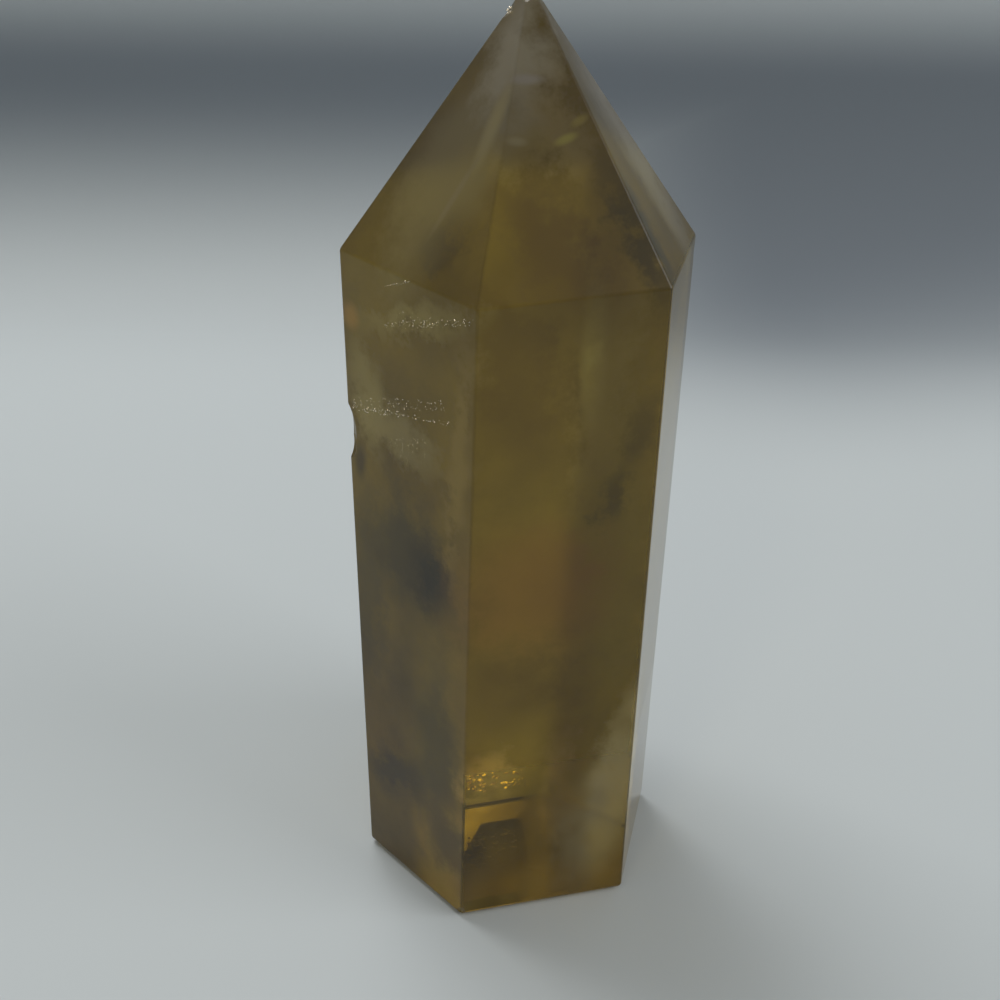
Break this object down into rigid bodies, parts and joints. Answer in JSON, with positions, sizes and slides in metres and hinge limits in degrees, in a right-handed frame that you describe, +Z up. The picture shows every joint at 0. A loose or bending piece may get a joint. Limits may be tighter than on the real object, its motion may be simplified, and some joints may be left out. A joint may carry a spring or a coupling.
{
  "type": "smoky quartz tower",
  "caption": "Polished smoky quartz tower: a see-through brown six-sided column with a six-sided point, standing on a flat ground foot.",
  "frame": {"origin": "on the surface the tower stands on, under the middle of its box", "axes": "+Z up the column to the tip, the widest of the polished side faces looks along -Y"},
  "size_m": [0.0314, 0.0322, 0.0857],
  "materials": {
    "smoky_quartz": "polished"
  },
  "bodies": {
    "root": {"quartz_tower": "smoky_quartz"}
  },
  "joints": []
}
